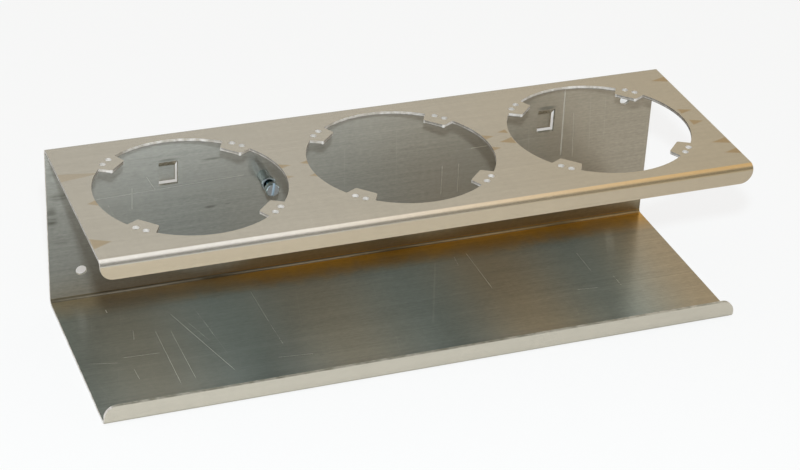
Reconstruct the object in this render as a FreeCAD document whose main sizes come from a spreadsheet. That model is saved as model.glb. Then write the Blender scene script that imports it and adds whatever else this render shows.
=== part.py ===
"""Can holder for a perforated tool panel, folded from one aluminium sheet.

The section is a C: a shelf with a short lip turned up at the front, a back plate, and a top plate with
a lip turned down. Three openings in the top plate take cans, and each has four tabs that can be bent
down along two small holes. Two hooks lanced from the back plate hang it in a panel with square holes,
four corner holes take screws instead, and a slotted screw in a riveted bush clamps it to the panel.

Frame, in millimetres: +X along the length, +Y towards the wall, +Z up. The origin is the centre of the
shelf's underside. Inside the sheet's own body the wall face is the plane Y = 0.
"""

import FreeCAD
import Part
import Sketcher
import math
import os

SIZES = [
    ("length", 304, "along the wall, eight holes of a 38 mm panel"),
    ("height", 82.5, "over both plates"),
    ("sheet_thickness", 1.5, "aluminium sheet"),
    ("bend_radius", 1.5, "inside radius of the four long bends"),
    ("top_lip_height", 9, "drop of the top plate's lip, from the top face"),
    ("shelf_lip_height", 9.5, "rise of the shelf's lip, from the underside"),
    ("lip_corner_radius", 5.9, "rounded ends of both lips"),
    ("opening_diameter", 86, "can opening"),
    ("opening_bridge", 12.5, "sheet left between two openings"),
    ("opening_rear_margin", 7.75, "sheet behind the openings, to the wall face"),
    ("opening_front_margin", 9.25, "sheet in front of the openings, to the front of both lips"),
    ("tab_length", 6.5, "from the edge of an opening to the tip of a tab"),
    ("tab_tip_width", 10.4, "flat tip of a tab"),
    ("tab_flank_angle", 17, "each side of a tab, in degrees"),
    ("tab_corner_radius", 1, "rounded corners of a tab"),
    ("tab_turn_angle", 45, "first tab from the length axis, in degrees"),
    ("bend_hole_diameter", 3, "two holes that mark a tab's bend line"),
    ("bend_hole_spacing", 5, "between those two holes"),
    ("hook_spacing", 190, "between the hooks, five holes of the panel"),
    ("hook_width", 8.4, "lanced hook"),
    ("hook_side_gap", 0.3, "cut beside the hook and below its end"),
    ("hook_top_inset", 15.1, "top of the hook's window below the top face"),
    ("hook_window_height", 11.9, "cut height of that window"),
    ("hook_panel_gap", 2, "space for the panel between plate and hook"),
    ("hook_drop", 3.8, "height over which the hook steps back"),
    ("hook_bend_radius", 0.6, "inside radius at the foot of the step"),
    ("corner_hole_diameter", 5.2, "screw holes in the corners of the back plate"),
    ("corner_hole_inset", 15, "their distance from each end"),
    ("corner_hole_base", 16.25, "height of the lower pair"),
    ("corner_hole_top_inset", 15.25, "upper pair below the top face"),
    ("lock_top_inset", 29, "axis of the clamping screw below the top face"),
    ("bush_diameter", 6, "barrel of the threaded bush"),
    ("bush_length", 8.9, "bush in front of the back plate"),
    ("bush_rim_diameter", 7, "rim at the front of the bush"),
    ("bush_rim_width", 0.9, "length of that rim"),
    ("bush_spigot_diameter", 5.2, "part of the bush inside the plate"),
    ("bush_rivet_depth", 0.5, "flush riveted edge at the wall face"),
    ("bush_bore_chamfer", 0.5, "at the mouth of the bore"),
    ("thread_diameter", 4, "of the clamping screw"),
    ("fit_clearance", 0.05, "round the spigot and the screw, on the radius"),
    ("screw_length", 14, "under the head"),
    ("screw_gap", 3.8, "head above the bush, as the screw stands backed out"),
    ("screw_point_chamfer", 0.5, "at the tip"),
    ("head_diameter", 6.5, "slotted cheese head"),
    ("head_height", 2.8, "along the axis"),
    ("head_edge_radius", 0.4, "rounded front edge"),
    ("slot_width", 1.2, "screwdriver slot"),
    ("slot_depth", 1.3, "from the face of the head"),
    ("slot_tilt", 9, "slot from upright, in degrees, top towards +X"),
]

TAB_COUNT = 4

START, END, CENTRE = range(1, 4)
ORIGIN_POINT = (-1, 1)
X_AXIS_INDEX, Y_AXIS_INDEX = -1, -2

doc = FreeCAD.newDocument("can_holder")


def make_sheet():
    """Write the driving dimensions to a spreadsheet, one aliased cell each."""
    sheet = doc.addObject("Spreadsheet::Sheet", "Sizes")
    for row, (alias, value, note) in enumerate(SIZES, start=1):
        sheet.set(f"A{row}", str(value))
        sheet.setAlias(f"A{row}", alias)
        sheet.set(f"B{row}", note)
    doc.recompute()
    return sheet


sizes = make_sheet()


def size(alias):
    """The value of one driving dimension."""
    return float(getattr(sizes, alias))


def total(*terms):
    """A size that follows from others: its expression and its value, from (share, alias) terms."""
    expression = " + ".join(f"{share} * ${alias}" for share, alias in terms)
    return f"({expression})", sum(share * size(alias) for share, alias in terms)


DEPTH, depth = total((1, "opening_rear_margin"), (1, "opening_diameter"), (1, "opening_front_margin"))
SETBACK, setback = total((1, "opening_rear_margin"), (0.5, "opening_diameter"))
PITCH, pitch = total((1, "opening_diameter"), (1, "opening_bridge"))
REACH, reach = total((0.5, "opening_diameter"), (-1, "tab_length"))
HOOK_BASE, hook_base = total((1, "height"), (-1, "hook_top_inset"), (-1, "hook_window_height"))
CORNER_HOLE_RISE, _ = total((1, "height"), (-1, "corner_hole_base"), (-1, "corner_hole_top_inset"))
LOCK_HEIGHT, _ = total((1, "height"), (-1, "lock_top_inset"))

OPENINGS = int(size("length") // pitch)
FIRST_OPENING = f"-{PITCH} * {OPENINGS - 1} / 2"
LOCK_PLACE = f"-{PITCH} * {OPENINGS - 2} / 2"


def near(value, target):
    return abs(value - target) < 1e-4


def bind(item, path, expression):
    """Bind a property or a named constraint to the sheet; $name stands for a cell."""
    item.setExpression(path, expression.replace("$", "Sizes."))


def make_body(name):
    body = doc.addObject("PartDesign::Body", name)
    body.Label = name
    return body


def place(body, x="0", y="0", z="0"):
    """Tie a body's position to the sheet."""
    for axis, expression in zip("xyz", (x, y, z)):
        bind(body, f".Placement.Base.{axis}", expression)


def origin_plane(body, role):
    return next(item for item in body.Origin.OriginFeatures if item.Role == role)


def make_sketch(body, role, name, x="0", y="0", out="0", turn="0"):
    """A sketch on an origin plane, moved by x and y in the plane and out along its normal."""
    sketch = body.newObject("Sketcher::SketchObject", name)
    sketch.AttachmentSupport = [(origin_plane(body, role), "")]
    sketch.MapMode = "FlatFace"
    for axis, expression in zip("xyz", (x, y, out)):
        bind(sketch, f".AttachmentOffset.Base.{axis}", expression)
    sketch.AttachmentOffset.Rotation.Axis = FreeCAD.Vector(0, 0, 1)
    bind(sketch, ".AttachmentOffset.Rotation.Angle", turn)
    return sketch


def outline(sketch, points, free=()):
    """Closed run of lines through the points; level and upright ones are held so unless free."""
    for number, (start, end) in enumerate(zip(points, points[1:] + points[:1])):
        line = Part.LineSegment(FreeCAD.Vector(*start, 0), FreeCAD.Vector(*end, 0))
        sketch.addGeometry(line, False)
        if number in free:
            continue
        if near(start[1], end[1]):
            sketch.addConstraint(Sketcher.Constraint("Horizontal", number))
        elif near(start[0], end[0]):
            sketch.addConstraint(Sketcher.Constraint("Vertical", number))
    count = len(points)
    for number in range(count):
        following = (number + 1) % count
        sketch.addConstraint(Sketcher.Constraint("Coincident", number, END, following, START))


def dimension(sketch, kind, where, name, expression, value):
    """One named dimension of a sketch, bound to the sheet."""
    index = sketch.addConstraint(Sketcher.Constraint(kind, *where, value))
    sketch.renameConstraint(index, name)
    bind(sketch, f"Constraints.{name}", expression)


def from_origin(sketch, kind, line, name, expression, value):
    """Distance of a line's start from the sketch's origin, positive along the axis."""
    dimension(sketch, kind, (*ORIGIN_POINT, line, START), name, expression, value)


def to_origin(sketch, kind, line, name, expression, value):
    """Distance of the sketch's origin from a line's start, for points on the negative side."""
    dimension(sketch, kind, (line, START, *ORIGIN_POINT), name, expression, value)


def circle(sketch, number, radius_expression, x=0, y=0):
    """A circle of the sketch, its radius bound to the sheet."""
    ring = Part.Circle(FreeCAD.Vector(x, y, 0), FreeCAD.Vector(0, 0, 1), 1)
    sketch.addGeometry(ring, False)
    dimension(sketch, "Radius", (number,), f"radius_{number}", radius_expression, 1)


def round_hole(body, role, name, radius_expression, x, y, out="0"):
    """A sketch of one round hole centred on its own origin."""
    sketch = make_sketch(body, role, name, x, y, out)
    circle(sketch, 0, radius_expression)
    sketch.addConstraint(Sketcher.Constraint("Coincident", 0, CENTRE, *ORIGIN_POINT))
    return sketch


def pad(body, sketch, name, length, symmetric=False, flipped=False):
    feature = body.newObject("PartDesign::Pad", name)
    feature.Profile = sketch
    feature.SideType = "Symmetric" if symmetric else "One side"
    feature.Reversed = flipped
    bind(feature, "Length", length)
    return feature


def pocket(body, sketch, name, length, flipped=False):
    feature = body.newObject("PartDesign::Pocket", name)
    feature.Profile = sketch
    feature.Reversed = flipped
    bind(feature, "Length", length)
    return feature


def revolve(body, sketch, name):
    """Turn a profile about the sketch's upright axis."""
    feature = body.newObject("PartDesign::Revolution", name)
    feature.Profile = sketch
    feature.ReferenceAxis = (sketch, ["V_Axis"])
    feature.Angle = 360
    return feature


def edges_at(feature, wanted):
    """Names of the feature's edges whose middle point and direction pass the test."""
    names = []
    for number, edge in enumerate(feature.Shape.Edges, start=1):
        middle = edge.valueAt((edge.FirstParameter + edge.LastParameter) / 2)
        ends = edge.Vertexes
        run = ends[-1].Point - ends[0].Point
        if wanted(middle, run):
            names.append(f"Edge{number}")
    return names


def round_edges(body, base, name, radius, wanted):
    doc.recompute()
    feature = body.newObject("PartDesign::Fillet", name)
    feature.Base = (base, edges_at(base, wanted))
    bind(feature, "Radius", radius)
    return feature


def runs_along(run, axis):
    """Whether an edge is straight along one axis of the frame."""
    return run.Length > 0 and near(abs(getattr(run, axis)), run.Length)


def repeat(body, name, originals, sketch, axis, length, count):
    """Copies of features along a sketch axis, over the whole length."""
    feature = body.newObject("PartDesign::LinearPattern", name)
    if originals:
        feature.Originals = originals
    feature.Direction = (sketch, [axis])
    feature.Occurrences = count
    bind(feature, "Length", length)
    return feature


def section_sketch(body):
    """The C section across the length, sharp-cornered, with the wall face on the upright axis."""
    high, thick = size("height"), size("sheet_thickness")
    top_lip, shelf_lip = size("top_lip_height"), size("shelf_lip_height")
    sketch = make_sketch(body, "YZ_Plane", "section")
    outline(sketch, [
        (-depth, high - top_lip), (-depth, high), (0, high), (0, 0), (-depth, 0), (-depth, shelf_lip),
        (thick - depth, shelf_lip), (thick - depth, thick), (-thick, thick), (-thick, high - thick),
        (thick - depth, high - thick), (thick - depth, high - top_lip),
    ])
    sketch.addConstraint(Sketcher.Constraint("Coincident", 3, START, *ORIGIN_POINT))
    dimension(sketch, "DistanceY", (0, START, 0, END), "top_lip", "$top_lip_height", top_lip)
    dimension(sketch, "DistanceX", (1, START, 1, END), "top_depth", DEPTH, depth)
    dimension(sketch, "DistanceY", (2, END, 2, START), "height", "$height", high)
    dimension(sketch, "DistanceX", (3, END, 3, START), "shelf_depth", DEPTH, depth)
    dimension(sketch, "DistanceY", (4, START, 4, END), "shelf_lip", "$shelf_lip_height", shelf_lip)
    thickness = [
        ("DistanceX", (5, START, 5, END)), ("DistanceY", (3, START, 7, START)),
        ("DistanceX", (8, START, 3, START)), ("DistanceY", (9, START, 1, START)),
        ("DistanceX", (11, END, 11, START)),
    ]
    for number, (kind, where) in enumerate(thickness):
        dimension(sketch, kind, where, f"thick_{number}", "$sheet_thickness", thick)
    return sketch


def fold_sheet(body):
    """The folded sheet without its cut-outs: section, long bends and rounded ends of the lips."""
    high, thick = size("height"), size("sheet_thickness")
    blank = pad(body, section_sketch(body), "folded_strip", "$length", symmetric=True)

    def on_lines(inset):
        """Edges along the length at the bends, this far inside the outer faces."""
        sides = (-inset, inset - depth)
        levels = (inset, high - inset)
        return lambda middle, run: (
            runs_along(run, "x") and any(near(middle.z, level) for level in levels)
            and any(near(middle.y, side) for side in sides))

    outer = round_edges(body, blank, "outer_bends", "$bend_radius + $sheet_thickness", on_lines(0))
    inner = round_edges(body, outer, "inner_bends", "$bend_radius", on_lines(thick))
    lip_ends = (high - size("top_lip_height"), size("shelf_lip_height"))
    return round_edges(
        body, inner, "lip_corners", "$lip_corner_radius",
        lambda middle, run: runs_along(run, "y") and any(near(middle.z, end) for end in lip_ends))


def cut_openings(body):
    """Round openings in the top plate, each with its tabs and the holes on their bend lines."""
    first = (FIRST_OPENING, f"-{SETBACK}", "$height")
    ring = round_hole(body, "XY_Plane", "opening", "$opening_diameter / 2", *first)
    opening = pocket(body, ring, "opening_cut", "$sheet_thickness * 2")
    span = f"{PITCH} * {OPENINGS - 1}"
    body.Tip = repeat(body, "openings", [opening], ring, "H_Axis", span, OPENINGS)

    tab = make_sketch(body, "XY_Plane", "tab", *first, turn="$tab_turn_angle")
    half = size("tab_tip_width") / 2
    root = size("opening_diameter") / 2 + size("sheet_thickness")
    flank = math.radians(size("tab_flank_angle"))
    wide = half + (root - reach) * math.tan(flank)
    outline(tab, [(reach, half), (root, wide), (root, -wide), (reach, -half)], free=(1, 3))
    tab.addConstraint(Sketcher.Constraint("Symmetric", 1, START, 1, END, X_AXIS_INDEX))
    tab.addConstraint(Sketcher.Constraint("Symmetric", 3, START, 3, END, X_AXIS_INDEX))
    from_origin(tab, "DistanceX", 0, "reach", REACH, reach)
    from_origin(tab, "DistanceX", 1, "root", "$opening_diameter / 2 + $sheet_thickness", root)
    dimension(tab, "DistanceY", (3, START, 3, END), "tip_width", "$tab_tip_width", 2 * half)
    dimension(tab, "Angle", (X_AXIS_INDEX, 0), "flank", "$tab_flank_angle * 1 deg", flank)
    tab_plate = pad(body, tab, "tab_plate", "$sheet_thickness", flipped=True)

    marks = make_sketch(body, "XY_Plane", "bend_marks", *first, turn="$tab_turn_angle")
    line, apart = size("opening_diameter") / 2, size("bend_hole_spacing")
    circle(marks, 0, "$bend_hole_diameter / 2", line, apart / 2)
    circle(marks, 1, "$bend_hole_diameter / 2", line, -apart / 2)
    marks.addConstraint(Sketcher.Constraint("Symmetric", 0, CENTRE, 1, CENTRE, X_AXIS_INDEX))
    dimension(marks, "DistanceX", (*ORIGIN_POINT, 0, CENTRE), "line", "$opening_diameter / 2", line)
    dimension(marks, "DistanceY", (1, CENTRE, 0, CENTRE), "spacing", "$bend_hole_spacing", apart)
    bend_holes = pocket(body, marks, "bend_holes", "$sheet_thickness * 2")

    every_tab = body.newObject("PartDesign::MultiTransform", "tabs")
    every_tab.Originals = [tab_plate, bend_holes]
    around = body.newObject("PartDesign::PolarPattern", "tabs_around")
    around.Axis = (tab, ["N_Axis"])
    around.Angle = 360
    around.Occurrences = TAB_COUNT
    along = repeat(body, "tabs_along", [], ring, "H_Axis", span, OPENINGS)
    every_tab.Transformations = [around, along]
    body.Tip = every_tab

    corner = math.hypot(reach, half)
    centres = [pitch * (number - (OPENINGS - 1) / 2) for number in range(OPENINGS)]
    round_edges(body, every_tab, "tab_corners", "$tab_corner_radius", lambda middle, run: (
        runs_along(run, "z") and any(
            near(math.hypot(middle.x - centre, middle.y + setback), corner)
            for centre in centres)))


def hook_sketch(body):
    """Side view of a hook: it steps back and down out of the plate, then hangs parallel to it."""
    thick, gap, drop = size("sheet_thickness"), size("hook_panel_gap"), size("hook_drop")
    foot = hook_base + size("hook_side_gap")
    top = hook_base + size("hook_window_height")
    lean = math.atan((thick + gap) / drop)
    rise = thick * math.tan(lean / 2)
    sketch = make_sketch(body, "YZ_Plane", "hook", out="-$hook_spacing / 2")
    outline(sketch, [
        (-thick, top), (gap, top - drop), (gap, foot), (gap + thick, foot),
        (gap + thick, top - drop + rise), (0, top + rise), (0, top + thick), (-thick, top + thick),
    ])
    to_origin(sketch, "DistanceX", 0, "front", "$sheet_thickness", thick)
    from_origin(sketch, "DistanceY", 0, "top", "$height - $hook_top_inset", top)
    from_origin(sketch, "DistanceX", 1, "gap", "$hook_panel_gap", gap)
    dimension(sketch, "DistanceY", (0, END, 0, START), "drop", "$hook_drop", drop)
    from_origin(sketch, "DistanceY", 2, "foot", f"{HOOK_BASE} + $hook_side_gap", foot)
    dimension(sketch, "DistanceX", (2, START, 2, END), "thick", "$sheet_thickness", thick)
    sketch.addConstraint(Sketcher.Constraint("PointOnObject", 5, START, Y_AXIS_INDEX))
    sketch.addConstraint(Sketcher.Constraint("Parallel", 0, 4))
    dimension(sketch, "Distance", (5, START, 0), "step_thick", "$sheet_thickness", thick)
    dimension(sketch, "DistanceY", (0, START, 7, START), "root", "$sheet_thickness", thick)
    return sketch


def cut_hooks(body):
    """Two windows in the back plate, with the metal of each pushed back as a hook."""
    window = make_sketch(body, "XZ_Plane", "window", "-$hook_spacing / 2", HOOK_BASE)
    half, high = size("hook_width") / 2 + size("hook_side_gap"), size("hook_window_height")
    outline(window, [(-half, 0), (half, 0), (half, high), (-half, high)])
    window.addConstraint(Sketcher.Constraint("Symmetric", 0, START, 0, END, *ORIGIN_POINT))
    dimension(window, "DistanceX", (0, START, 0, END), "width", "$hook_width + 2 * $hook_side_gap",
              2 * half)
    dimension(window, "DistanceY", (1, START, 1, END), "height", "$hook_window_height", high)
    opening = pocket(body, window, "window_cut", "$sheet_thickness * 2", flipped=True)
    hook = pad(body, hook_sketch(body), "hook_plate", "$hook_width", symmetric=True)
    pair = body.newObject("PartDesign::Mirrored", "hooks")
    pair.Originals = [opening, hook]
    pair.MirrorPlane = (origin_plane(body, "YZ_Plane"), [""])
    body.Tip = pair

    gap, thick = size("hook_panel_gap"), size("sheet_thickness")
    inside = round_edges(body, pair, "hook_feet_inside", "$hook_bend_radius",
                         lambda middle, run: runs_along(run, "x") and near(middle.y, gap)
                         and middle.z > hook_base + size("hook_side_gap") + thick)
    round_edges(body, inside, "hook_feet_outside", "$hook_bend_radius + $sheet_thickness",
                lambda middle, run: runs_along(run, "x") and near(middle.y, gap + thick)
                and middle.z > hook_base + size("hook_side_gap") + thick)


def cut_back_holes(body):
    """Screw holes in the corners of the back plate, and the hole that the bush is riveted into."""
    corner = round_hole(body, "XZ_Plane", "corner_hole", "$corner_hole_diameter / 2",
                        "$corner_hole_inset - $length / 2", "$corner_hole_base")
    first = pocket(body, corner, "corner_hole_cut", "$sheet_thickness * 2", flipped=True)
    corners = body.newObject("PartDesign::MultiTransform", "corner_holes")
    corners.Originals = [first]
    across = repeat(body, "corner_pairs", [], corner, "H_Axis", "$length - 2 * $corner_hole_inset", 2)
    upward = repeat(body, "corner_rows", [], corner, "V_Axis", CORNER_HOLE_RISE, 2)
    corners.Transformations = [across, upward]
    body.Tip = corners

    seat = round_hole(body, "XZ_Plane", "bush_hole", "$bush_spigot_diameter / 2 + $fit_clearance",
                      LOCK_PLACE, LOCK_HEIGHT)
    cut = pocket(body, seat, "bush_hole_cut", "$sheet_thickness * 2", flipped=True)
    doc.recompute()
    rim = size("bush_spigot_diameter") / 2 + size("fit_clearance")
    countersink = body.newObject("PartDesign::Chamfer", "bush_countersink")
    countersink.Base = (cut, [
        f"Edge{number}" for number, edge in enumerate(cut.Shape.Edges, start=1)
        if isinstance(edge.Curve, Part.Circle) and near(edge.Curve.Radius, rim)
        and near(edge.Curve.Center.y, 0)])
    bind(countersink, "Size", "$bush_rivet_depth")


def make_holder_sheet():
    body = make_body("holder_sheet")
    place(body, y=f"{DEPTH} / 2")
    fold_sheet(body)
    cut_openings(body)
    cut_hooks(body)
    cut_back_holes(body)
    return body


def make_lock_bush():
    """Turned bush: its spigot passes the back plate and is riveted flush at the wall face."""
    body = make_body("lock_bush")
    place(body, LOCK_PLACE, f"{DEPTH} / 2 - $sheet_thickness", LOCK_HEIGHT)
    bore, spigot = size("thread_diameter") / 2, size("bush_spigot_diameter") / 2
    barrel, rim = size("bush_diameter") / 2, size("bush_rim_diameter") / 2
    thick, rivet = size("sheet_thickness"), size("bush_rivet_depth")
    front, rim_back = -size("bush_length"), size("bush_rim_width") - size("bush_length")
    mouth = size("bush_bore_chamfer")
    sketch = make_sketch(body, "XY_Plane", "bush_profile")
    outline(sketch, [
        (bore, thick), (spigot + rivet, thick), (spigot, thick - rivet), (spigot, 0), (barrel, 0),
        (barrel, rim_back), (rim, rim_back), (rim, front), (bore + mouth, front), (bore, front + mouth),
    ])
    from_origin(sketch, "DistanceX", 0, "bore", "$thread_diameter / 2", bore)
    from_origin(sketch, "DistanceY", 0, "wall_face", "$sheet_thickness", thick)
    dimension(sketch, "DistanceX", (2, START, 1, START), "rivet_out", "$bush_rivet_depth", rivet)
    dimension(sketch, "DistanceY", (2, START, 1, START), "rivet_deep", "$bush_rivet_depth", rivet)
    from_origin(sketch, "DistanceX", 2, "spigot", "$bush_spigot_diameter / 2", spigot)
    sketch.addConstraint(Sketcher.Constraint("PointOnObject", 3, START, X_AXIS_INDEX))
    from_origin(sketch, "DistanceX", 4, "barrel", "$bush_diameter / 2", barrel)
    dimension(sketch, "DistanceY", (6, END, 6, START), "rim_width", "$bush_rim_width", rim_back - front)
    from_origin(sketch, "DistanceX", 6, "rim", "$bush_rim_diameter / 2", rim)
    to_origin(sketch, "DistanceY", 7, "front", "$bush_length", -front)
    dimension(sketch, "DistanceX", (9, START, 8, START), "mouth_out", "$bush_bore_chamfer", mouth)
    dimension(sketch, "DistanceY", (8, START, 9, START), "mouth_deep", "$bush_bore_chamfer", mouth)
    revolve(body, sketch, "turned_bush")
    return body


def make_lock_screw():
    """Slotted screw, backed out as far as in the photographed holder; its tip stays inside the plate."""
    body = make_body("lock_screw")
    place(body, LOCK_PLACE, f"{DEPTH} / 2 - $sheet_thickness - $bush_length - $screw_gap", LOCK_HEIGHT)
    shank = size("thread_diameter") / 2 - size("fit_clearance")
    head, face = size("head_diameter") / 2, -size("head_height")
    tip, point = size("screw_length"), size("screw_point_chamfer")
    sketch = make_sketch(body, "XY_Plane", "screw_profile")
    outline(sketch, [
        (0, face), (head, face), (head, 0), (shank, 0), (shank, tip - point), (shank - point, tip), (0, tip),
    ])
    sketch.addConstraint(Sketcher.Constraint("PointOnObject", 0, START, Y_AXIS_INDEX))
    sketch.addConstraint(Sketcher.Constraint("PointOnObject", 2, START, X_AXIS_INDEX))
    to_origin(sketch, "DistanceY", 0, "face", "$head_height", -face)
    from_origin(sketch, "DistanceX", 1, "head", "$head_diameter / 2", head)
    from_origin(sketch, "DistanceX", 3, "shank", "$thread_diameter / 2 - $fit_clearance", shank)
    from_origin(sketch, "DistanceY", 5, "tip", "$screw_length", tip)
    dimension(sketch, "DistanceX", (5, START, 4, START), "point_in", "$screw_point_chamfer", point)
    dimension(sketch, "DistanceY", (4, START, 5, START), "point_back", "$screw_point_chamfer", point)
    turned = revolve(body, sketch, "turned_screw")
    rounded = round_edges(body, turned, "head_edge", "$head_edge_radius",
                          lambda middle, run: near(middle.y, face) and middle.Length > head)
    body.Tip = rounded

    slot = make_sketch(body, "XZ_Plane", "slot", out="$head_height", turn="-$slot_tilt")
    half, reach = size("slot_width") / 2, size("head_diameter")
    outline(slot, [(-half, -reach), (half, -reach), (half, reach), (-half, reach)])
    slot.addConstraint(Sketcher.Constraint("Symmetric", 0, START, 2, START, *ORIGIN_POINT))
    dimension(slot, "DistanceX", (0, START, 0, END), "width", "$slot_width", 2 * half)
    dimension(slot, "DistanceY", (1, START, 1, END), "reach", "2 * $head_diameter", 2 * reach)
    pocket(body, slot, "driver_slot", "$slot_depth")
    return body


def check(bodies):
    """Stop if any feature failed or a piece isn't one valid solid."""
    doc.recompute()
    for item in doc.Objects:
        if "Invalid" in item.State or "Error" in item.State:
            raise RuntimeError(f"{item.Name} failed: {item.State}")
    for body in bodies:
        shape = body.Shape
        if shape.isNull() or not shape.isValid() or len(shape.Solids) != 1:
            raise RuntimeError(f"{body.Label} is not one valid solid")


def write(bodies):
    os.makedirs("parts", exist_ok=True)
    for body in bodies:
        body.Shape.exportStep(f"parts/{body.Label}.step")
        box = body.Shape.BoundBox
        print(f"{body.Label}: {body.Shape.Volume:.1f} mm3, X {box.XMin:.2f} to {box.XMax:.2f}, "
              f"Y {box.YMin:.2f} to {box.YMax:.2f}, Z {box.ZMin:.2f} to {box.ZMax:.2f}")


pieces = [make_holder_sheet(), make_lock_bush(), make_lock_screw()]
check(pieces)
write(pieces)
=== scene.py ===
"""Finish and studio of the sheet-metal can holder: rolled aluminium with scratches and stains and with
painted light and shade on its panels, bright cut edges, and a zinc-plated clamping screw, on a plain pale
floor. Lengths are metres in the part's frame."""

import math

import bpy
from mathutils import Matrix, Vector


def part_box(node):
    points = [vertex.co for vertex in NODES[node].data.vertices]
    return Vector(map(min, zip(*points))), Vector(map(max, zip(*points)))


MM = 0.001

# Section of the folded sheet, which tells its outer side, inner side and cut edges apart
SHEET_THICKNESS = 1.5 * MM
BEND_RADIUS = 1.5 * MM
ON_AXIS = 0.001 * MM

# Parts of a face's normal along an axis, which tell flat panels, lips, cut edges and bends apart
FLAT = 0.98
SQUARE_ON = 0.9
SLANTED = 0.5
ROUNDED = 0.1
HOLE_FACE = 0.8 * MM * MM   # cut faces smaller than this line the bend holes

# Surroundings that the metal mirrors: levels from the horizon behind (0), over the top (0.5), to the horizon
# in front (1). Below the horizon the first level goes on.
ROOM_LEVELS = (
    (0.00, 0.47), (0.21, 0.47), (0.32, 1.0), (0.62, 1.0), (0.76, 0.12), (1.00, 0.12),
)
ROOM_PEAK = 1.7
ROOM_COOL = (0.93, 0.97, 1.03)
ROOM_WARM = (0.97, 0.93, 0.84)
CEILING_COOL = (0.88, 0.94, 1.04)
CEILING_WARM = (0.58, 0.45, 0.26)
CEILING_LEVELS = (0.50, 0.90)   # over these levels the room's colour turns into the ceiling's
WARM_SIDE = (0.24, 0.50)        # over these directions to the right the cool colours turn warm
ROOM_FOR_DIFFUSE = 0.48
DIFFUSE_TINT = (1.0, 0.95, 0.87)
WHITE = (1.0, 1.0, 1.0)

# Lamp above the camera, which casts the shadows
FLASH_POWER = 9.5
FLASH_COLOUR = (0.80, 0.93, 1.0)
FLASH_PLACE = (-0.318, -0.80, 0.70)
FLASH_TARGET = (0, 0, 0.05)
FLASH_SIZE = 0.05

# Floor
FLOOR_SIZE = 12.0
FLOOR_DROP = 0.2 * MM
FLOOR_COLOUR = (0.90, 0.90, 0.90)
FLOOR_ROUGHNESS = 0.9
FLOOR_GLOW = 0.80
SHADE_GLOW = 0.25               # behind the holder, in its shadow
SHADE_HEIGHT = (1.0, 1.25)      # shares of the holder's height over which the shadow ends
SHADE_SIDES = (0.89, 0.98)      # shares of its half length over which the shadow ends

# Camera at the photograph's place, from a camera model fitted to the holder's edges
CAMERA_PLACE = (-0.33528, -0.82715, 0.57027)
CAMERA_DEGREES = (59.309, -2.617, -20.582)
CAMERA_LENS = 101.4
SENSOR_WIDTH = 36.0

# Colours of the sheet. Pairs run from left to right, and on the cut edges from dark to light.
OUTER_COLOUR = (0.488, 0.427, 0.323)
INNER_COLOUR = (0.42, 0.405, 0.35)
# Shelf: a darker copy of the inner colour, as painted shade under the top plate, warmer and lighter to the
# right
SHELF_SHADE_COLOURS = ((0.280, 0.259, 0.197), (0.345, 0.272, 0.172))
# Cool bands on the shelf: painted reflection of the back plate's lit patches
SHELF_REFLECTION_COOL = (0.270, 0.303, 0.274)
# Back plate: a copy of the inner colour, lighter on the left and browner to the right, as painted light
BACK_LIT_COLOURS = ((0.48, 0.46, 0.413), (0.41, 0.345, 0.262))
# Front lips: lighter copies of the outer colour, as painted light from what they mirror in front
LIP_LIT_COLOUR = (0.68, 0.61, 0.51)
TOP_LIP_LIT_COLOUR = (0.545, 0.44, 0.315)
# Front bend of the top plate: painted highlight, whitish on the left and golden to the right
TOP_BEND_HIGHLIGHT_COLOURS = ((0.62, 0.555, 0.465), (0.60, 0.46, 0.275))
# Crease between shelf and back plate: painted shade, darker on the left
BEND_SHADE_COLOURS = ((0.20, 0.165, 0.11), (0.34, 0.245, 0.12))
# Golden tint along the crease, on shelf and back plate: painted shade
BEND_SHADE_TINT = (0.70, 0.375, 0.045)
BACK_BEND_SHADE_TINT = (0.34, 0.275, 0.165)
STAIN_COLOUR = (0.41, 0.30, 0.165)
# Dark marks on the back plate: dirt, and painted shade at the hook windows
DIRT_AND_SHADE_COLOUR = (0.16, 0.15, 0.12)
SCRATCH_COLOUR = (0.85, 0.80, 0.70)
EDGE_COLOURS = ((0.60, 0.53, 0.46), (0.90, 0.83, 0.78))
WINDOW_EDGE_COLOURS = ((0.28, 0.26, 0.20), (0.52, 0.48, 0.40))
HOLE_EDGE_COLOURS = ((0.60, 0.55, 0.51), (0.74, 0.68, 0.64))
COLOUR_RUN = (-100 * MM, 130 * MM)   # X over which a pair's first colour turns into its second
# Painted reflection: cool bands across the shelf at about the openings' pitch
SHELF_BAND_PITCH = 91 * MM           # cool bands across the shelf
SHELF_BAND_START = 13 * MM
SHELF_BAND_STRENGTH = 0.45

# Textures: scale, detail, roughness, stretch along X, Y and Z, and seed
EVEN = (1.0, 1.0, 1.0)
GRAIN = (1.0, 3.0, 0.6, (16.0, 1700.0, 1700.0), 0.0)
FLECKS = (1.0, 2.0, 0.5, (420.0, 1100.0, 1100.0), 13.0)
STREAKS = (1.0, 2.0, 0.5, (2.0, 420.0, 420.0), 3.0)
CROSSWISE = (1.0, 2.0, 0.5, (500.0, 9.0, 9.0), 4.0)
CLOUDS = (22.0, 4.0, 0.6, EVEN, 7.0)
WOBBLE = (160.0, 2.0, 0.5, EVEN, 9.0)
TINT_PATCHES = (1.0, 2.0, 0.5, (26.0, 9.0, 9.0), 19.0)
EDGE_RIDGES = (1.0, 3.0, 0.7, (2600.0, 700.0, 1500.0), 2.0)
OPENING_RIDGES = (1.0, 3.0, 0.7, (2600.0, 2600.0, 200.0), 2.0)
EDGE_BLOTCHES = (260.0, 3.0, 0.6, EVEN, 6.0)
ZINC_CLOUDS = (900.0, 2.0, 0.5, EVEN, 5.0)
NOISE_MEAN = 0.5

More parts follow.
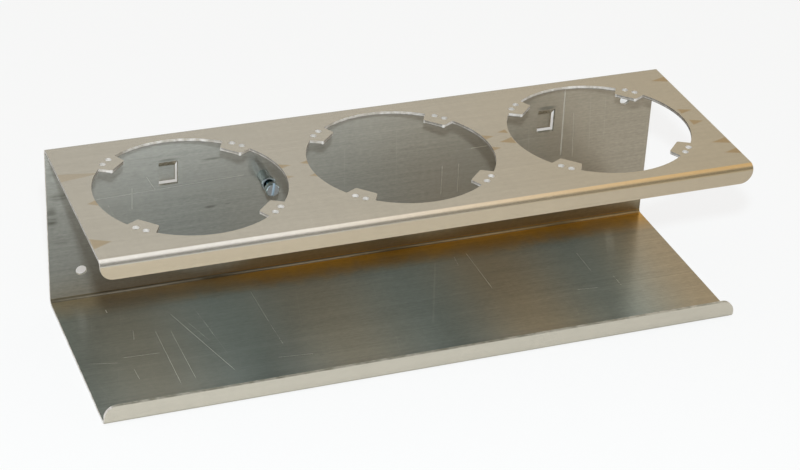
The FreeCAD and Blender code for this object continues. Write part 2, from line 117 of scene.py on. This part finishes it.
# Finish of the sheet
OUTSIDE = (0.85, 0.13)   # metallic and strength of the grain
INSIDE = (0.65, 0.38)
MEAN_SHADE = 0.98
STREAK_SHARE = 0.5       # of the grain's strength
CROSSWISE_STRENGTH = 0.06
CLOUD_STRENGTH = 0.10
ANISOTROPY = 0.95
ROUGHNESS = 0.20
STREAK_ROUGHNESS = 0.04
SCRATCH_ROUGHNESS = 0.25
SCRATCH_HEIGHT = -0.6    # beside the grain's 1
GRAIN_BUMP = (0.12, 0.01 * MM)

# Painted shade along the bend between shelf and back plate: a golden tint where the crease lies in shadow
TINT_REACH = (1 * MM, 20 * MM)
TINT_WOBBLE = 8 * MM
TINT_RUN = (-130 * MM, -20 * MM)   # X over which it grows to its full strength
TINT_LEFT = 0.25
TINT_PATCH_LIMITS = (0.3, 0.6)
TINT_PATCH_LEVELS = (0.8, 1.0)

# Marks: unevenness of their outlines, and where each kind is full and where it ends
MARK_WOBBLE = 0.2 * MM
SCRATCH_WIDTH = 0.55         # of the width in the tables
SCRATCH_CORE = 0.2           # of that width
SCRATCH_HEAD = 0.12          # of the length
SCRATCH_TAIL = 0.85
OVAL_RIM = (0.3, 1.1)
DARK_MARK_STREAKS = (0.3, 0.6)
STAIN_FLANK = (-0.3 * MM, 0.5 * MM)
STAIN_FOOT = (0.9, 1.05)
WEAR_LIMITS = (0.2, 0.6)     # the clouds leave scratches weaker in places
WEAR_LEVELS = (0.6, 1.0)

# Hairline scratches: turns in radians with seeds, stretch, noise over which they show, and strength
HAIRLINE_TURNS = ((0.12, 11.0), (1.42, 17.0), (1.80, 23.0))
HAIRLINE_STRETCH = (26.0, 2300.0, 2300.0)
HAIRLINE_LIMITS = (0.68, 0.80)
HAIRLINE_STRENGTH = 0.06

# Cut edges
EDGE_METALLIC = 0.6
HOLE_METALLIC = 0.2
EDGE_ROUGHNESS = 0.28
RIDGE_ROUGHNESS = 0.25
RIDGE_SHADE = (0.6, 0.7)     # contrast and darkest shade
RIDGE_BUMP = (0.8, 0.08 * MM)
BLOTCH_LIMITS = (0.35, 0.65)
SIDEWAYS = (0.35, 0.7)
SIDEWAYS_DARK = 0.5
UPPER_BAND = (0.95 * MM, 0.65 * MM)   # depths below the top over which the upper band begins
LOWER_BAND = (1.35 * MM, 1.05 * MM)   # and over which the lower one ends
LOWER_DARK = 0.65

# Plating of the bush and the screw
ZINC_COLOURS = ((0.36, 0.48, 0.51), (0.70, 0.78, 0.80))
HEAD_COLOURS = ((0.36, 0.35, 0.36), (0.48, 0.48, 0.47))
SLOT_COLOUR = (0.56, 0.62, 0.70)
HEAD_FACING = (0.96, 0.995)
SLOT_TOP = (0.2 * MM, 0.4 * MM)       # depths behind the head's face
SLOT_BOTTOM = (1.6 * MM, 1.8 * MM)
HEAD_METALLIC = -0.45                 # beside the plating's 1
ZINC_ROUGHNESS = 0.07
BUSH_EDGE = 0.22 * MM
SCREW_EDGE = 0.18 * MM
WELD_REACH = 0.01 * MM
BEVEL_SEGMENTS = 2
BEVEL_DEGREES = 35

# Scratches on the shelf, in millimetres: from x, y to x, y, width and strength
SHELF_SCRATCHES = (
    (-102.5, 27.5, -85.4, -31.5, 0.35, 0.60),
    (-112.0, 15.5, -112.2, -35.5, 0.30, 0.42),
    (-105.2, 13.5, -104.8, -33.0, 0.30, 0.40),
    (-60.2, 34.5, -59.8, 2.5, 0.25, 0.32),
    (-59.9, 4.0, -59.1, -16.5, 0.25, 0.24),
    (-133.0, -4.5, -113.0, -5.5, 0.30, 0.32),
    (-151.5, -4.1, -132.5, -8.5, 0.25, 0.26),
    (-121.5, 16.5, -123.2, 7.5, 0.30, 0.30),
    (-129.2, -14.0, -128.8, -24.0, 0.25, 0.28),
    (-129.3, 36.4, -129.3, 33.3, 0.60, 0.60),
    (-66.0, -24.0, -47.0, -26.0, 0.30, 0.34),
    (-97.8, 21.5, -89.7, -4.5, 0.25, 0.24),
    (-89.9, 28.0, -85.3, -17.5, 0.25, 0.24),
    (51.3, 38.5, 51.3, 0.5, 0.35, 0.42),
    (44.4, 35.5, 43.3, 25.5, 0.25, 0.26),
    (34.6, 35.0, 12.0, -20.0, 1.30, 0.11),
    (35.8, -36.1, 62.0, -38.4, 0.25, 0.22),
    (89.5, -9.7, 101.7, -11.3, 0.40, 0.36),
    (103.9, 23.0, 103.8, 2.0, 0.25, 0.28),
    (112.2, -2.5, 112.5, -13.5, 0.25, 0.24),
)
# Scratches on the back plate: from x, z to x, z, width and strength
BACK_SCRATCHES = (
    (103.9, 80, 104.6, 39, 0.75, 0.80),
    (109.5, 66, 111.2, 37, 0.30, 0.35),
    (86, 62, 88, 30, 0.25, 0.22),
    (118, 74, 120, 40, 0.25, 0.18),
    (126, 76, 127.5, 46, 0.25, 0.18),
    (41.6, 46, 41.8, 27, 0.30, 0.30),
    (50.2, 46, 50.4, 27, 0.30, 0.30),
    (-9, 62, -8, 30, 0.25, 0.18),
    (17, 70, 18, 36, 0.25, 0.18),
    (-135, 52.6, -50, 55.2, 0.28, 0.36),
    (-112.2, 57, -112.4, 44, 0.40, 0.40),
    (-105.6, 61.6, -100.9, 53, 0.30, 0.35),
    (-124, 50, -119, 38, 0.30, 0.25),
    (52, 52, 98, 53, 0.35, 0.25),
)
# Dark marks on the back plate, dirt and painted shade: x, z, half width, half height and strength. The two at
# z 68.4 and 68.6 are painted shade along the tops of the hook windows; those near x -150 darken the plate's
# left end.
BACK_DIRT_AND_SHADE = (
    (-75, 40.8, 4.0, 1.2, 0.85),
    (-66.5, 41.2, 2.2, 0.8, 0.75),
    (-61.5, 41.4, 1.8, 0.8, 0.70),
    (-110.5, 62.5, 2.4, 1.3, 0.35),
    (-74, 66, 6.0, 0.9, 0.55),
    (-150, 46, 3.5, 7.0, 0.85),
    (-146, 57, 6.0, 2.6, 0.75),
    (-146, 34, 6.0, 2.4, 0.60),
    (-147, 70, 6.0, 4.0, 0.50),
    (86, 73, 5.0, 2.0, 0.35),
    # painted shade along the tops of the hook windows
    (-95, 68.4, 6.0, 1.0, 0.60),
    (95, 68.6, 6.0, 1.3, 0.70),
)
# Tan marks on the top plate: the tip's x, y, how far the mark runs to its foot, the foot's width, strength
TOP_STAINS = (
    (-145.5, -3.0, 5.0, 6.0, 0.8), (-143.0, -36.0, -9.0, 9.0, 0.8), (-132.0, 22.0, -22.0, 8.0, 0.45),
    (-50.5, 6.0, -6.0, 4.5, 0.9), (-52.0, -4.0, -4.0, 3.5, 0.6), (-46.5, 6.5, 5.0, 4.5, 0.9),
    (-46.0, -5.5, 5.0, 4.5, 0.8), (48.0, 6.5, -6.0, 5.0, 0.9), (47.0, -4.5, -5.0, 4.5, 0.9),
    (50.5, 9.5, 5.0, 4.0, 1.0), (48.0, 0.5, 7.5, 6.5, 1.0), (149.5, 5.5, -7.0, 5.0, 1.0),
    (149.5, -6.0, -6.5, 5.5, 1.0), (143.5, 38.0, 9.0, 6.0, 1.0), (143.0, -26.5, 9.0, 6.0, 1.0),
    (144.5, -37.0, 8.0, 6.0, 1.0),
)

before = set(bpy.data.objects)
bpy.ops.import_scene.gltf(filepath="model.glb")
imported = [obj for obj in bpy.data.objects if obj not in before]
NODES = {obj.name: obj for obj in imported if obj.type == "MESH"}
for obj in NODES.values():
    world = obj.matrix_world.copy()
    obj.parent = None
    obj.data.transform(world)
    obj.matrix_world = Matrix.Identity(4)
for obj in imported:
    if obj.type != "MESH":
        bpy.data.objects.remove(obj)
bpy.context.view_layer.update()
LOW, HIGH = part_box("holder_sheet")
WALL_FACE = -LOW.y
RIGHT = Vector((1, 0, 0))
REAR = Vector((0, 1, 0))
FRONT = Vector((0, -1, 0))
UP = Vector((0, 0, 1))


class Tree:
    """The nodes of a material or a world, with short calls for the ones used here."""

    def __init__(self, tree):
        self.nodes = tree.nodes
        self.links = tree.links

    def feed(self, socket, value):
        """Link an output to a socket, or set the socket's own value."""
        if isinstance(value, bpy.types.NodeSocket):
            self.links.new(value, socket)
        else:
            socket.default_value = value

    def add(self, kind, *values, **settings):
        """A node with the given settings and its first inputs fed."""
        node = self.nodes.new(kind)
        for name, setting in settings.items():
            setattr(node, name, setting)
        for socket, value in zip(node.inputs, values):
            self.feed(socket, value)
        return node

    def fill(self, node, **values):
        """The node with inputs fed by name, with _ for each space."""
        for name, value in values.items():
            self.feed(node.inputs[name.replace("_", " ").title()], value)
        return node

    def math(self, operation, first, second=0.0, third=0.0):
        return self.add("ShaderNodeMath", first, second, third, operation=operation).outputs[0]

    def vector(self, operation, first, second=(0.0, 0.0, 0.0)):
        node = self.add("ShaderNodeVectorMath", first, second, operation=operation)
        return node.outputs["Value"] if operation in ("DOT_PRODUCT", "LENGTH") else node.outputs["Vector"]

    def split(self, vector):
        return self.add("ShaderNodeSeparateXYZ", vector).outputs

    def spread(self, value, limits, levels=(0.0, 1.0), kind="SMOOTHSTEP"):
        """Map the limits to the levels, flat outside."""
        node = self.add("ShaderNodeMapRange", value, *limits, *levels, interpolation_type=kind)
        return node.outputs["Result"]

    def fade(self, value, limits, level=1.0):
        """The level before the limits and 0 after them."""
        return self.spread(value, limits, (level, 0.0))

    def mix(self, factor, first, second, kind="MIX"):
        """Blend or product of two colours."""
        node = self.add("ShaderNodeMix", factor, data_type="RGBA", blend_type=kind)
        self.feed(node.inputs[6], first)
        self.feed(node.inputs[7], second)
        return node.outputs[2]


class Shader(Tree):
    """A material with one principled shader."""

    def __init__(self, name):
        self.material = bpy.data.materials.new(name)
        self.material.use_nodes = True
        super().__init__(self.material.node_tree)
        self.nodes.clear()
        self.bsdf = self.add("ShaderNodeBsdfPrincipled")
        self.surface = self.add("ShaderNodeOutputMaterial").inputs["Surface"]
        self.links.new(self.bsdf.outputs["BSDF"], self.surface)
        self.place = self.add("ShaderNodeTexCoord").outputs["Object"]

    def set(self, **values):
        """Set or link inputs of the principled shader."""
        self.fill(self.bsdf, **values)

    def normal(self):
        return self.add("ShaderNodeNewGeometry").outputs["Normal"]

    def noise(self, scale, detail, roughness, stretch, seed):
        """Noise from 0 to 1, with features 1 / scale metres long, divided by stretch along each axis."""
        shift = (seed, seed * 0.7, seed * 1.3)
        moved = self.vector("ADD", self.vector("MULTIPLY", self.place, stretch), shift)
        node = self.add("ShaderNodeTexNoise")
        return self.fill(node, vector=moved, scale=scale, detail=detail, roughness=roughness).outputs["Fac"]

    def bump(self, height, strength, distance):
        node = self.fill(self.add("ShaderNodeBump"), height=height, strength=strength, distance=distance)
        self.set(normal=node.outputs["Normal"])

    def shaded(self, colour, factor):
        """A colour multiplied by a number."""
        grey = self.add("ShaderNodeCombineColor", factor, factor, factor)
        return self.mix(1.0, colour, grey.outputs[0], "MULTIPLY")

    def run(self, place, point, direction):
        """How far a place lies past a point along a direction."""
        return self.math("SUBTRACT", self.vector("DOT_PRODUCT", place, direction), point.dot(direction))

    def scratch(self, place, start, end, facing, width):
        """1 on a straight line between two points of a panel, fading at its sides and ends."""
        direction = (end - start).normalized()
        length = (end - start).length
        along = self.run(place, start, direction)
        aside = self.math("ABSOLUTE", self.run(place, start, direction.cross(facing)))
        core = self.fade(aside, (SCRATCH_CORE * width, width))
        head = self.spread(along, (0.0, SCRATCH_HEAD * length))
        tail = self.fade(along, (SCRATCH_TAIL * length, length))
        return self.math("MULTIPLY", core, self.math("MULTIPLY", head, tail))

    def soft_oval(self, place, centre, scale):
        """1 at the middle of an ellipse, fading to 0 at its rim."""
        offset = self.vector("MULTIPLY", self.vector("SUBTRACT", place, centre), scale)
        return self.fade(self.vector("LENGTH", offset), OVAL_RIM)

    def wedge(self, place, tip, reach, foot):
        """1 inside a triangle that opens from its tip along X."""
        along = self.math("DIVIDE", self.run(place, tip, RIGHT), reach)
        aside = self.math("ABSOLUTE", self.run(place, tip, REAR))
        inside = self.math("SUBTRACT", self.math("MULTIPLY", along, foot / 2), aside)
        return self.math("MULTIPLY", self.spread(inside, STAIN_FLANK), self.fade(along, STAIN_FOOT))

    def strongest(self, masks):
        """The highest of several (mask, strength) pairs at each point."""
        total = 0.0
        for mask, strength in masks:
            total = self.math("MAXIMUM", total, self.math("MULTIPLY", mask, strength))
        return total


def rgb(red, green, blue):
    return (red, green, blue, 1.0)


def on_shelf(x, y):
    return Vector((x, y, 0)) * MM


def on_back(x, z):
    return Vector((x, 0, z)) * MM


def hairlines(shader, facing):
    """Many short, thin scratches in a few directions along a panel that faces one way."""
    total = 0.0
    for turn, seed in HAIRLINE_TURNS:
        turned = shader.add("ShaderNodeVectorRotate", rotation_type="AXIS_ANGLE")
        shader.fill(turned, vector=shader.place, axis=facing, angle=turn)
        stretched = shader.vector("MULTIPLY", turned.outputs[0], HAIRLINE_STRETCH)
        moved = shader.vector("ADD", stretched, (seed, seed, seed))
        noise = shader.fill(shader.add("ShaderNodeTexNoise"), vector=moved, scale=1.0, detail=1.0)
        total = shader.math("MAXIMUM", total, shader.spread(noise.outputs["Fac"], HAIRLINE_LIMITS))
    return total


def reflected_bands(shader, x):
    """Strength of the cool bands that cross the shelf, a painted reflection of the back plate's lit patches.
    """
    past = shader.math("SUBTRACT", x, SHELF_BAND_START)
    turn = shader.math("DIVIDE", past, SHELF_BAND_PITCH / (2 * math.pi))
    return shader.math("MULTIPLY_ADD", shader.math("COSINE", turn), SHELF_BAND_STRENGTH, SHELF_BAND_STRENGTH)


def bend_shade_strength(shader, x, wobble):
    """Strength of the painted shade along the bend between shelf and back plate, weaker to the left."""
    bend = (0.0, WALL_FACE - SHEET_THICKNESS, SHEET_THICKNESS)
    offset = shader.vector("MULTIPLY", shader.vector("SUBTRACT", shader.place, bend), REAR + UP)
    reach = shader.math("MULTIPLY_ADD", wobble, TINT_WOBBLE, shader.vector("LENGTH", offset))
    from_left = shader.spread(x, TINT_RUN, (TINT_LEFT, 1.0))
    patchy = shader.spread(shader.noise(*TINT_PATCHES), TINT_PATCH_LIMITS, TINT_PATCH_LEVELS)
    return shader.math("MULTIPLY", shader.fade(reach, TINT_REACH), shader.math("MULTIPLY", from_left, patchy))


def tan_marks(shader, place, stains):
    """Strength of the tan wedges of the top plate."""
    return shader.strongest(
        (shader.wedge(place, on_shelf(x, y), reach * MM, foot * MM), strength)
        for x, y, reach, foot, strength in stains)


def dark_marks(shader, place, streaks, dirt_and_shade):
    """Strength of the back plate's dark marks, dirt and painted shade, broken up by the streaks."""
    dark = shader.strongest(
        (shader.soft_oval(place, on_back(x, z), (1 / (wide * MM), 0.0, 1 / (high * MM))), strength)
        for x, z, wide, high, strength in dirt_and_shade)
    return shader.math("MULTIPLY", dark, shader.spread(streaks, DARK_MARK_STREAKS))


def sheet_material(name, base, side, facing=FRONT, to_right=None, cool=None, tint=None,
                   scratches=(), dirt_and_shade=(), stains=()):
    """Rolled aluminium: fine grain along X, cloudy oxide, hairline scratches and the given marks, with the
    panel's painted light and shade in its colours, cool bands and crease tint.
    """
    shader = Shader(name)
    metallic, lively = side
    x = shader.split(shader.place)["X"]
    wobble = shader.math("SUBTRACT", shader.noise(*WOBBLE), NOISE_MEAN)
    shift = shader.math("MULTIPLY", wobble, MARK_WOBBLE)
    shifts = shader.add("ShaderNodeCombineXYZ", shift, shift, shift).outputs[0]
    bent = shader.vector("ADD", shader.place, shifts)
    grain = shader.noise(*GRAIN)
    streaks = shader.noise(*STREAKS)
    clouds = shader.noise(*CLOUDS)
    textures = (
        (grain, lively), (shader.noise(*FLECKS), lively), (streaks, STREAK_SHARE * lively),
        (shader.noise(*CROSSWISE), CROSSWISE_STRENGTH), (clouds, CLOUD_STRENGTH),
    )
    shade = MEAN_SHADE
    for texture, strength in textures:
        shade = shader.math("MULTIPLY_ADD", shader.math("SUBTRACT", texture, NOISE_MEAN), strength, shade)

    colour = rgb(*base)
    if to_right:
        colour = shader.mix(shader.spread(x, COLOUR_RUN), colour, rgb(*to_right))
    # Painted reflection: cool bands
    if cool:
        colour = shader.mix(reflected_bands(shader, x), colour, rgb(*cool))
    # Painted shade: a golden tint along the crease
    if tint:
        colour = shader.mix(bend_shade_strength(shader, x, wobble), colour, rgb(*tint))
    if stains:
        colour = shader.mix(tan_marks(shader, bent, stains), colour, rgb(*STAIN_COLOUR))
    if dirt_and_shade:
        colour = shader.mix(dark_marks(shader, bent, streaks, dirt_and_shade), colour, rgb(*DIRT_AND_SHADE_COLOUR))

    lines = [(hairlines(shader, facing), HAIRLINE_STRENGTH)]
    lines += [(shader.scratch(bent, start, end, facing, SCRATCH_WIDTH * width * MM), strength)
              for start, end, width, strength in scratches]
    worn = shader.spread(clouds, WEAR_LIMITS, WEAR_LEVELS)
    scuffed = shader.math("MULTIPLY", shader.strongest(lines), worn)
    rough = shader.math("MULTIPLY_ADD", streaks, STREAK_ROUGHNESS, ROUGHNESS)
    along = shader.vector("NORMALIZE", shader.vector("CROSS_PRODUCT", shader.normal(), RIGHT))
    shader.set(base_color=shader.mix(scuffed, shader.shaded(colour, shade), rgb(*SCRATCH_COLOUR)))
    shader.set(metallic=metallic, anisotropic=ANISOTROPY, tangent=along)
    shader.set(roughness=shader.math("MULTIPLY_ADD", scuffed, SCRATCH_ROUGHNESS, rough))
    shader.bump(shader.math("MULTIPLY_ADD", scuffed, SCRATCH_HEIGHT, grain), *GRAIN_BUMP)
    return shader.material


def edge_shadow(shader):
    """How much darker the top plate's cut edges are low down, and above that where they face sideways."""
    z = shader.split(shader.place)["Z"]
    across = shader.math("ABSOLUTE", shader.split(shader.normal())["X"])
    upper = shader.spread(z, tuple(HIGH.z - depth for depth in UPPER_BAND))
    lower = shader.fade(z, tuple(HIGH.z - depth for depth in LOWER_BAND), LOWER_DARK)
    beside = shader.math("MULTIPLY", shader.math("MULTIPLY", shader.spread(across, SIDEWAYS), upper),
                         SIDEWAYS_DARK)
    return shader.math("MAXIMUM", lower, beside)


def edge_material(name, colours, texture, metallic=EDGE_METALLIC, two_tone=False):
    """Laser-cut edge: bright and blotchy, with fine ridges."""
    shader = Shader(name)
    ridges = shader.noise(*texture)
    blotches = shader.spread(shader.noise(*EDGE_BLOTCHES), BLOTCH_LIMITS)
    colour = shader.mix(blotches, *(rgb(*part) for part in colours))
    shade = shader.math("MULTIPLY_ADD", ridges, *RIDGE_SHADE)
    if two_tone:
        shade = shader.math("MULTIPLY", shade, shader.math("SUBTRACT", 1.0, edge_shadow(shader)))
    shader.set(base_color=shader.shaded(colour, shade), metallic=metallic)
    shader.set(roughness=shader.math("MULTIPLY_ADD", ridges, RIDGE_ROUGHNESS, EDGE_ROUGHNESS))
    shader.bump(ridges, *RIDGE_BUMP)
    return shader.material


def zinc_material():
    """Bright bluish zinc plating, darker and browner on the flat face of the screw's head."""
    shader = Shader("zinc_plating")
    clouds = shader.noise(*ZINC_CLOUDS)
    facing = shader.math("MULTIPLY", shader.split(shader.normal())["Y"], -1.0)
    flat = shader.spread(facing, HEAD_FACING)
    face_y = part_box("lock_screw")[0].y
    y = shader.split(shader.place)["Y"]
    below = shader.spread(y, tuple(face_y + depth for depth in SLOT_TOP))
    above = shader.fade(y, tuple(face_y + depth for depth in SLOT_BOTTOM))
    plated = shader.mix(clouds, *(rgb(*part) for part in ZINC_COLOURS))
    head = shader.mix(clouds, *(rgb(*part) for part in HEAD_COLOURS))
    head = shader.mix(shader.math("MULTIPLY", below, above), head, rgb(*SLOT_COLOUR))
    shader.set(base_color=shader.mix(flat, plated, head))
    shader.set(metallic=shader.math("MULTIPLY_ADD", flat, HEAD_METALLIC, 1.0))
    shader.set(roughness=shader.math("MULTIPLY_ADD", clouds, ZINC_ROUGHNESS, ZINC_ROUGHNESS))
    return shader.material


def skin_of(centre, normal):
    """Which of the sheet's surfaces a face lies on: outer, inner or cut edge."""
    if abs(normal.x) > SLANTED:
        return "edge"
    outside = BEND_RADIUS + SHEET_THICKNESS
    near_y = min(max(centre.y, LOW.y + outside), WALL_FACE - outside)
    near_z = min(max(centre.z, LOW.z + outside), HIGH.z - outside)
    outward = Vector((0, centre.y - near_y, centre.z - near_z))
    if outward.length < ON_AXIS:
        return "inner"
    if abs(normal.dot(outward.normalized())) < SLANTED:
        return "edge"
    return "outer" if outward.length > outside - SHEET_THICKNESS / 2 else "inner"


def outer_panel(centre, normal):
    if normal.z > FLAT:
        return "top"
    # The top plate's front bend gets a material of its own for its painted highlight
    if min(normal.z, -normal.y) > ROUNDED:
        return "top_bend"
    if normal.y < -SQUARE_ON:
        return "shelf_lip" if centre.z < HIGH.z / 2 else "top_lip"
    return "outer"


def inner_panel(centre, normal):
    low_down = centre.z < LOW.z + 2 * SHEET_THICKNESS
    # The crease between shelf and back plate gets a material of its own for its painted shade
    if low_down and min(normal.z, -normal.y) > ROUNDED:
        return "bend"
    if low_down and centre.y > LOW.y + 2 * SHEET_THICKNESS:
        return "shelf"
    if centre.y > WALL_FACE - 3 * SHEET_THICKNESS and centre.z < HIGH.z - 2 * SHEET_THICKNESS:
        return "back"
    return "inner"


def edge_panel(centre, normal, area):
    if normal.z > SQUARE_ON and centre.y < 0 and centre.z < HIGH.z / 2:
        return "window_edge"
    if centre.y > WALL_FACE - 2 * SHEET_THICKNESS and abs(centre.x) < HIGH.x - SHEET_THICKNESS:
        return "window_edge"
    if centre.z > HIGH.z - 1.2 * SHEET_THICKNESS:
        return "hole_edge" if area < HOLE_FACE else "opening_edge"
    return "edge"


def panel_of(centre, normal, area):
    """The face's material: its skin, told apart by panel where a panel has a look of its own."""
    if centre.y > WALL_FACE + SHEET_THICKNESS / 2 and normal.y < -SLANTED:
        return "back"
    skin = skin_of(centre, normal)
    if skin == "outer":
        return outer_panel(centre, normal)
    if skin == "inner":
        return inner_panel(centre, normal)
    return edge_panel(centre, normal, area)


def dress_sheet():
    """Materials of the folded sheet, one for each panel and kind of edge."""
    node = NODES["holder_sheet"]
    shelf_lines = [(on_shelf(x, y), on_shelf(u, v), width, by) for x, y, u, v, width, by in SHELF_SCRATCHES]
    back_lines = [(on_back(x, z), on_back(u, v), width, by) for x, z, u, v, width, by in BACK_SCRATCHES]
    materials = {
        "outer": sheet_material("sheet_outer_side", OUTER_COLOUR, OUTSIDE),
        "top": sheet_material("sheet_top_side", OUTER_COLOUR, OUTSIDE, UP, stains=TOP_STAINS),
        "inner": sheet_material("sheet_inner_side", INNER_COLOUR, INSIDE, UP),
        "shelf_lip": sheet_material("sheet_shelf_lip", LIP_LIT_COLOUR, OUTSIDE),
        "top_lip": sheet_material("sheet_top_lip", TOP_LIP_LIT_COLOUR, OUTSIDE),
        "top_bend": sheet_material("sheet_top_bend", TOP_BEND_HIGHLIGHT_COLOURS[0], OUTSIDE,
                                   to_right=TOP_BEND_HIGHLIGHT_COLOURS[1]),
        "bend": sheet_material("sheet_shelf_bend", BEND_SHADE_COLOURS[0], INSIDE, UP, BEND_SHADE_COLOURS[1]),
        "shelf": sheet_material("sheet_shelf_side", SHELF_SHADE_COLOURS[0], INSIDE, UP, SHELF_SHADE_COLOURS[1],
                                cool=SHELF_REFLECTION_COOL, tint=BEND_SHADE_TINT, scratches=shelf_lines),
        "back": sheet_material("sheet_back_side", BACK_LIT_COLOURS[0], INSIDE, FRONT, BACK_LIT_COLOURS[1],
                               tint=BACK_BEND_SHADE_TINT, scratches=back_lines, dirt_and_shade=BACK_DIRT_AND_SHADE),
        "edge": edge_material("sheet_cut_edge", EDGE_COLOURS, EDGE_RIDGES),
        "window_edge": edge_material("sheet_window_edge", WINDOW_EDGE_COLOURS, EDGE_RIDGES),
        "opening_edge": edge_material("sheet_opening_edge", EDGE_COLOURS, OPENING_RIDGES, two_tone=True),
        "hole_edge": edge_material("sheet_hole_edge", HOLE_EDGE_COLOURS, OPENING_RIDGES, HOLE_METALLIC),
    }
    node.data.materials.clear()
    for material in materials.values():
        node.data.materials.append(material)
    order = list(materials)
    for face in node.data.polygons:
        face.material_index = order.index(panel_of(face.center, face.normal, face.area))


def dress_screw():
    """Plating on the bush and the screw, with their turned edges slightly broken."""
    material = zinc_material()
    for name, width in (("lock_bush", BUSH_EDGE), ("lock_screw", SCREW_EDGE)):
        node = NODES[name]
        node.data.materials.clear()
        node.data.materials.append(material)
        weld = node.modifiers.new("weld", "WELD")
        weld.merge_threshold = WELD_REACH
        bevel = node.modifiers.new("bevel", "BEVEL")
        bevel.width = width
        bevel.segments = BEVEL_SEGMENTS
        bevel.limit_method = "ANGLE"
        bevel.angle_limit = math.radians(BEVEL_DEGREES)


def plate_shadow(shader):
    """1 on the floor where the back plate hides the flash, fading at the shadow's edges."""
    outputs = shader.split(shader.place)
    x = outputs["X"]
    y = outputs["Y"]
    flash_x, flash_y, flash_z = FLASH_PLACE
    share = shader.math("DIVIDE", WALL_FACE - flash_y, shader.math("SUBTRACT", y, flash_y))
    height = shader.math("MULTIPLY_ADD", share, -flash_z, flash_z)
    across = shader.math("MULTIPLY_ADD", shader.math("SUBTRACT", x, flash_x), share, flash_x)
    behind = shader.spread(y, (WALL_FACE, WALL_FACE + SHEET_THICKNESS))
    below = shader.fade(height, tuple(part * HIGH.z for part in SHADE_HEIGHT))
    within = shader.fade(shader.math("ABSOLUTE", across), tuple(part * HIGH.x for part in SHADE_SIDES))
    return shader.math("MULTIPLY", shader.math("MULTIPLY", behind, below), within)


def make_floor():
    """Pale floor that reaches far past the view. It glows white for the camera, less so where the back plate
    shades it from the flash, so that it keeps the object's shadow."""
    bpy.ops.mesh.primitive_plane_add(size=FLOOR_SIZE, location=(0, 0, -FLOOR_DROP))
    floor = bpy.context.object
    floor.name = "floor"
    shader = Shader("floor_pale")
    shader.set(base_color=rgb(*FLOOR_COLOUR), roughness=FLOOR_ROUGHNESS)
    seen = shader.add("ShaderNodeLightPath").outputs["Is Camera Ray"]
    level = shader.math("MULTIPLY_ADD", plate_shadow(shader), SHADE_GLOW - FLOOR_GLOW, FLOOR_GLOW)
    glow = shader.add("ShaderNodeEmission").outputs[0]
    factor = shader.math("MULTIPLY", seen, level)
    both = shader.add("ShaderNodeMixShader", factor, shader.bsdf.outputs[0], glow)
    shader.links.new(both.outputs[0], shader.surface)
    floor.data.materials.append(shader.material)


def make_world():
    """Surroundings: white for the camera, a lit room for reflections, soft even light for the rest."""
    world = bpy.data.worlds.new("studio")
    bpy.context.scene.world = world
    world.use_nodes = True
    tree = Tree(world.node_tree)
    path = tree.add("ShaderNodeLightPath").outputs
    direction = tree.split(tree.add("ShaderNodeTexCoord").outputs["Generated"])
    turn = tree.math("DIVIDE", tree.math("ARCTAN2", direction["Z"], direction["Y"]), math.pi)
    ramp = tree.add("ShaderNodeValToRGB", turn)
    stops = ramp.color_ramp.elements
    while len(stops) < len(ROOM_LEVELS):
        stops.new(0.5)
    for stop, (position, level) in zip(stops, ROOM_LEVELS):
        stop.position = position
        stop.color = rgb(level, level, level)
    brightness = ramp.outputs["Color"]
    overhead = tree.spread(brightness, CEILING_LEVELS, kind="LINEAR")
    cool = tree.mix(overhead, rgb(*ROOM_COOL), rgb(*CEILING_COOL))
    warm = tree.mix(overhead, rgb(*ROOM_WARM), rgb(*CEILING_WARM))
    air = tree.mix(tree.spread(direction["X"], WARM_SIDE), cool, warm)
    room = tree.mix(1.0, air, brightness, "MULTIPLY")
    room = tree.mix(1.0, room, rgb(ROOM_PEAK, ROOM_PEAK, ROOM_PEAK), "MULTIPLY")
    mirrored = tree.math("MAXIMUM", path["Is Glossy Ray"], path["Is Transmission Ray"])
    even = rgb(*(ROOM_FOR_DIFFUSE * part for part in DIFFUSE_TINT))
    seen = tree.mix(path["Is Camera Ray"], tree.mix(mirrored, even, room), rgb(*WHITE))
    tree.links.new(seen, tree.nodes["Background"].inputs["Color"])


def make_flash():
    """Small lamp for the shadows. The metal doesn't mirror it, because its glare would whiten the top plate
    when seen from behind."""
    lamp = bpy.data.lights.new("flash", "AREA")
    lamp.shape = "SQUARE"
    lamp.size = FLASH_SIZE
    lamp.energy = FLASH_POWER
    lamp.color = FLASH_COLOUR
    item = bpy.data.objects.new("flash", lamp)
    bpy.context.scene.collection.objects.link(item)
    item.location = FLASH_PLACE
    item.rotation_euler = (Vector(FLASH_TARGET) - Vector(FLASH_PLACE)).to_track_quat("-Z", "Y").to_euler()
    item.visible_camera = False
    item.visible_glossy = False


def make_camera():
    camera = bpy.data.cameras.new("camera")
    camera.sensor_fit = "HORIZONTAL"
    camera.sensor_width = SENSOR_WIDTH
    camera.lens = CAMERA_LENS
    item = bpy.data.objects.new("camera", camera)
    bpy.context.scene.collection.objects.link(item)
    item.location = CAMERA_PLACE
    item.rotation_euler = tuple(math.radians(angle) for angle in CAMERA_DEGREES)
    bpy.context.scene.camera = item


dress_sheet()
dress_screw()
make_floor()
make_world()
make_flash()
make_camera()

scene = bpy.context.scene
scene.view_settings.view_transform = "Standard"
